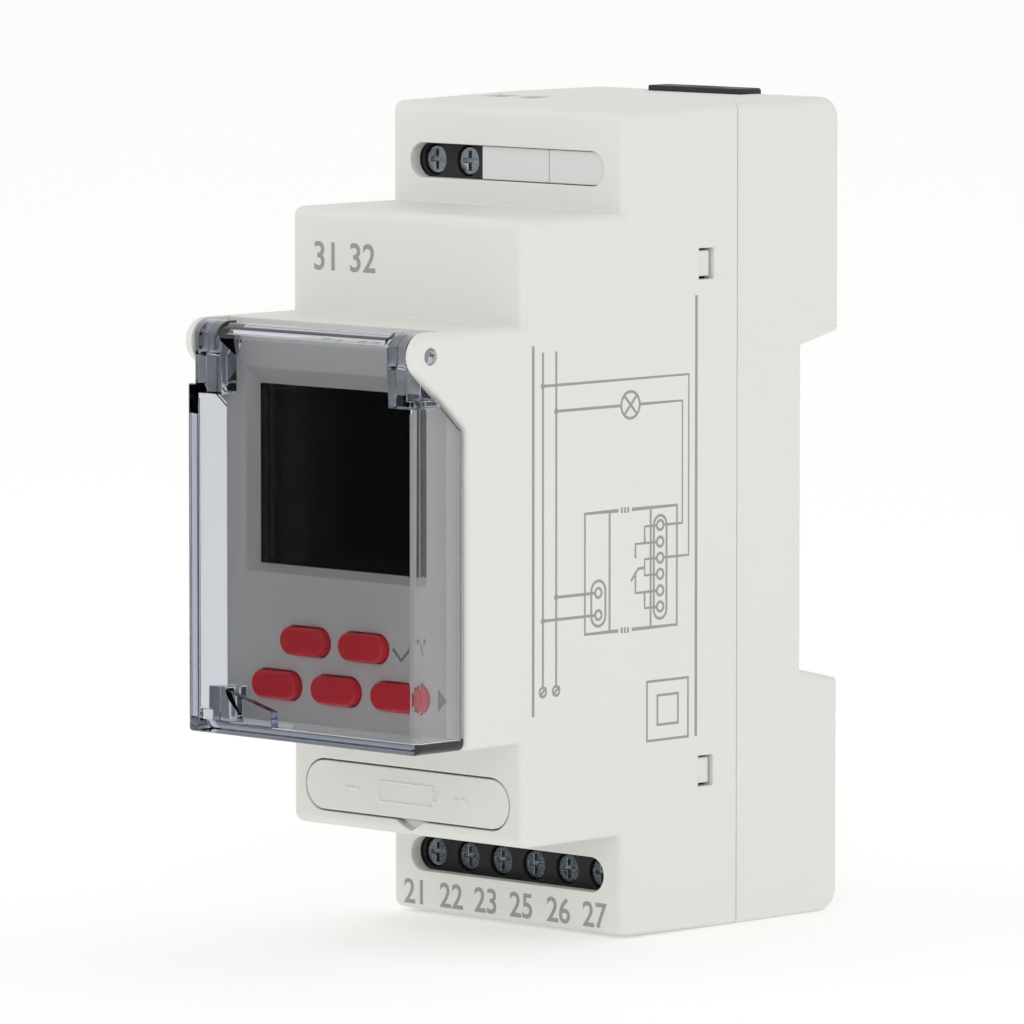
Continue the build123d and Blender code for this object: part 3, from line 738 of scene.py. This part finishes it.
class TIMER_OT_electronics(bpy.types.Operator):
    """Build the boards and what stands on them"""
    bl_idname = "timer.electronics"
    bl_label = "Electronics"

    def execute(self, context):
        rounded = ("relay", "film_capacitor", "choke", "varistor", "microcontroller",
                   "board_header")
        plain = ("display_board", "power_board", "riser_board", "bulk_capacitor", "fuse_resistor",
                 "quartz_crystal")
        for node in rounded:
            replace_node(node, material_for(SLOT_OF[node]), 0.15 * MM)
        for node in plain:
            paint(frame["nodes"][node], material_for(SLOT_OF[node]))
        return {"FINISHED"}


class TIMER_OT_clips(bpy.types.Operator):
    """Build the two rail clips"""
    bl_idname = "timer.clips"
    bl_label = "Rail clips"

    def execute(self, context):
        for node in nodes_like("rail_clip"):
            replace_node(node, material_for("black_plastic"), 0.25 * MM)
        return {"FINISHED"}


class TIMER_OT_side_print(bpy.types.Operator):
    """Print the wiring diagram on the right-hand face"""
    bl_idname = "timer.side_print"
    bl_label = "Side print"

    def execute(self, context):
        line = sizes().line_width
        mains = [[(-41.25, 19.4), (-41.25, -16.45)], [(-39.2, 19.4), (-39.2, -16.45)]]
        for y in (-41.25, -39.2):
            mains += [circle((y, -17.0), 0.5), [(y - 0.5, -17.45), (y + 0.5, -16.55)]]
        load = [[(-41.25, 15.8), (-18.45, 15.8), (-18.45, -3.85), (-22.4, -3.85)],
                [(-39.2, 13.0), (-29.1, 13.0)], circle((-27.65, 13.0), 1.45),
                [(-26.2, 13.0), (-19.45, 13.0), (-19.45, -0.3), (-22.4, -0.3)],
                [(-28.65, 14.05), (-26.6, 11.95)], [(-28.65, 11.95), (-26.6, 14.05)]]
        device = [[(-29.55, 1.7), (-34.75, 1.7), (-34.75, -11.3), (-29.55, -11.3)],
                  [(-27.4, 1.7), (-20.3, 1.7), (-20.3, -11.3), (-27.4, -11.3)]]
        inside = [[(-30.9, 1.7), (-30.9, -11.3)], [(-24.45, 1.7), (-24.45, -11.3)]]
        inside += [[(y, z - 0.3), (y, z + 0.3)]
                   for y in (-29.0, -28.5, -28.0) for z in (1.7, -11.3)]
        supply = [pill((-32.65, -8.1), 1.1, 1.35)]
        supply += [circle((-32.65, z), 0.5) for z in (-6.95, -9.35)]
        supply += [[(-41.25, -9.35), (-33.15, -9.35)], [(-39.2, -6.95), (-33.15, -6.95)]]
        outputs = [pill((-22.95, -4.85), 1.0, 4.6)]
        outputs += [circle((-22.95, z), 0.52) for z in (-0.3, -2.1, -3.85, -5.6, -7.4, -9.15)]
        contacts = [[(-23.45, -0.3), (-25.4, -0.3), (-25.4, -2.1)],
                    [(-23.45, -2.1), (-26.85, -2.1), (-26.85, -3.65)],
                    [(-23.45, -3.85), (-25.4, -3.85), (-25.4, -5.6), (-23.45, -5.6)],
                    [(-25.4, -4.75), (-26.4, -4.8), (-27.55, -6.05)],
                    [(-23.45, -7.4), (-26.85, -7.4), (-26.85, -5.45)],
                    [(-23.45, -9.15), (-25.4, -9.15), (-25.4, -7.4)]]
        nested = [[(-25.0, -17.2), (-18.5, -17.2), (-18.5, -23.65), (-25.0, -23.65),
                   (-25.0, -17.2)],
                  [(-23.35, -18.8), (-20.1, -18.8), (-20.1, -22.0), (-23.35, -22.0),
                   (-23.35, -18.8)]]
        runs = mains + load + inside + supply + outputs + contacts
        lines = strokes("diagram_lines", runs, line, sizes().ink_depth, on_side)
        outline = strokes("diagram_outline", device + nested, 1.25 * line,
                          sizes().ink_depth, on_side)
        bars = strokes("diagram_bars", [[(-42.75, 20.15), (-42.75, -19.55)],
                                        [(-17.25, 24.3), (-17.25, -23.7)]],
                       1.3 * line, sizes().ink_depth, on_side)
        joints = ((-41.25, 15.8), (-39.2, 13.0), (-41.25, -9.35), (-39.2, -6.95))
        dots = strokes("diagram_dots", [circle(joint, 0.16) for joint in joints], 0.36 * MM,
                       sizes().ink_depth, on_side)
        whole = join([lines, outline, bars, dots], "wiring_diagram")
        hand_over(whole, BODY_OF["front_housing"], material_for("ink"))
        return {"FINISHED"}


class TIMER_OT_labels(bpy.types.Operator):
    """Print the terminal numbers and the marks beside the buttons"""
    bl_idname = "timer.labels"
    bl_label = "Labels"

    def execute(self, context):
        body = BODY_OF["front_housing"]
        depth = sizes().ink_depth
        height = sizes().number_height
        low = [number(text, x * MM, -42.75 * MM, TERMINAL_Y, height, depth) for text, x in
               (("21", -13.9), ("22", -8.4), ("23", -3.1), ("25", 2.3), ("26", 7.9), ("27", 13.3))]
        high = [number(str(31 + i), x * MM, 28.3 * MM, SHOULDER_Y, 3.0 * MM, depth)
                for i, x in enumerate((-12.1, -6.6))]
        numbers = join(low + high, "terminal_numbers")
        hand_over(numbers, body, material_for("ink"), 20)
        # an arrow beside the lower right button, and a tick beside the upper right one
        arrow = solid_triangle("arrow", [(14.75, -15.65), (14.75, -18.15), (16.0, -16.9)], depth)
        tick = strokes("tick", [[(9.3, -11.8), (10.5, -13.0), (12.9, -10.6)]], 0.42 * MM, depth,
                       on_front(PANEL_Y))
        marks = join([arrow, tick], "button_marks")
        hand_over(marks, body, material_for("ink"))
        return {"FINISHED"}


class TIMER_OT_stage(bpy.types.Operator):
    """Set up the floor, the light and the camera"""
    bl_idname = "timer.stage"
    bl_label = "Stage"

    def execute(self, context):
        scene = context.scene
        self.floor(CAD_BOX[0][2])
        self.flag()
        self.lights()
        self.camera()
        scene.view_settings.view_transform = "Standard"
        return {"FINISHED"}

    def floor(self, level):
        """A wide floor of white acrylic that glows a little, so that no horizon shows."""
        deselect()
        bpy.ops.mesh.primitive_plane_add(size=16.0, location=(0, 0, level))
        apply_place(bpy.context.object)
        floor = bpy.context.object
        floor.name = "floor"
        acrylic = surface("back-lit white acrylic", colours().floor, 0.9, 1.2, 4, 0.002, 120.0,
                          **{"Specular IOR Level": 0.1, "Emission Color": (1.0, 1.0, 1.0, 1.0),
                             "Emission Strength": 0.22})
        paint(floor, acrylic)
        floor.visible_glossy = False

    def flag(self):
        """A black flag before the object. Reflected and refracted light meets it and the camera
        doesn't, so that the smoked cover and the display look clear and dark from the front."""
        deselect()
        turn = math.radians(-30)
        distance = 0.2
        bpy.ops.mesh.primitive_plane_add(
            size=1.0, rotation=(math.pi / 2, 0, turn),
            location=(distance * math.sin(turn), -distance * math.cos(turn), -0.025))
        flag = bpy.context.object
        flag.scale = (0.28, 0.11, 1.0)
        apply_place(flag)
        flag.name = "black_flag"
        paint(flag, component("black flag velvet", "#050505", 0.95, 1.0, 2))
        flag.visible_camera = False
        flag.visible_diffuse = False
        flag.visible_shadow = False

    def lights(self):
        """A white surround and two soft lights."""
        world = bpy.data.worlds.new("white surround")
        world.use_nodes = True
        tree = world.node_tree
        tree.nodes.clear()
        ray = add(tree, "ShaderNodeTexCoord").outputs["Generated"]
        height = add(tree, "ShaderNodeSeparateXYZ", {"Vector": ray}).outputs["Z"]
        sky = add(tree, "ShaderNodeMapRange",
                  {"Value": height, "From Min": 0.0, "From Max": 1.0,
                   "To Min": 1.0, "To Max": 0.72})
        glow = add(tree, "ShaderNodeBackground",
                   {"Color": (1.0, 1.0, 1.0, 1.0), "Strength": sky.outputs["Result"]})
        output = add(tree, "ShaderNodeOutputWorld")
        tree.links.new(glow.outputs["Background"], output.inputs["Surface"])
        bpy.context.scene.world = world
        for name, place, size, power in (
            ("right softbox", (0.55, -0.65, 0.35), 0.35, 0.5),
            ("top softbox", (-0.35, -0.35, 0.8), 0.4, 0.4),
        ):
            light = bpy.data.lights.new(name, "AREA")
            light.shape = "SQUARE"
            light.size = size
            light.energy = power
            lamp = bpy.data.objects.new(name, light)
            lamp.location = place
            aim = Vector((0, -0.025, 0)) - lamp.location
            lamp.rotation_euler = aim.to_track_quat("-Z", "Y").to_euler()
            bpy.context.scene.collection.objects.link(lamp)

    def camera(self):
        """A long lens from the front right, a little above the middle."""
        azimuth, elevation = math.radians(44.0), math.radians(5.39)
        right = Vector((math.cos(azimuth), math.sin(azimuth), 0))
        back = Vector((math.sin(azimuth) * math.cos(elevation),
                       -math.cos(azimuth) * math.cos(elevation), math.sin(elevation)))
        aim = Vector((0, -27 * MM, 0.24 * MM)) - 0.61 * MM * right
        lens = bpy.data.cameras.new("camera")
        lens.lens = 330.7
        lens.sensor_width = 36.0
        lens.clip_start = 0.01
        lens.clip_end = 50.0
        camera = bpy.data.objects.new("camera", lens)
        camera.location = aim + 1.0254 * back
        camera.rotation_euler = (-back).to_track_quat("-Z", "Y").to_euler()
        bpy.context.scene.collection.objects.link(camera)
        bpy.context.scene.camera = camera


class TIMER_PT_panel(bpy.types.Panel):
    """Sizes, colours and steps of the timer"""
    bl_label = "Timer"
    bl_idname = "TIMER_PT_panel"
    bl_space_type = "VIEW_3D"
    bl_region_type = "UI"
    bl_category = "Timer"

    def draw(self, context):
        layout = self.layout
        for group in (context.scene.timer_sizes, context.scene.timer_colours):
            for name in type(group).__annotations__:
                layout.prop(group, name)
        for step in STEPS:
            layout.operator(step.bl_idname)


STEPS = (
    TIMER_OT_case,
    TIMER_OT_cover,
    TIMER_OT_display,
    TIMER_OT_buttons,
    TIMER_OT_battery,
    TIMER_OT_terminals,
    TIMER_OT_electronics,
    TIMER_OT_clips,
    TIMER_OT_side_print,
    TIMER_OT_labels,
    TIMER_OT_stage,
)
CLASSES = (TimerSizes, TimerColours) + STEPS + (TIMER_PT_panel,)


def register():
    for cls in CLASSES:
        bpy.utils.register_class(cls)
    bpy.types.Scene.timer_sizes = bpy.props.PointerProperty(type=TimerSizes)
    bpy.types.Scene.timer_colours = bpy.props.PointerProperty(type=TimerColours)


def unregister():
    del bpy.types.Scene.timer_colours
    del bpy.types.Scene.timer_sizes
    for cls in reversed(CLASSES):
        bpy.utils.unregister_class(cls)


def main():
    register()
    for step in STEPS:
        getattr(bpy.ops.timer, step.bl_idname.split(".")[1])()


if __name__ == "__main__":
    main()
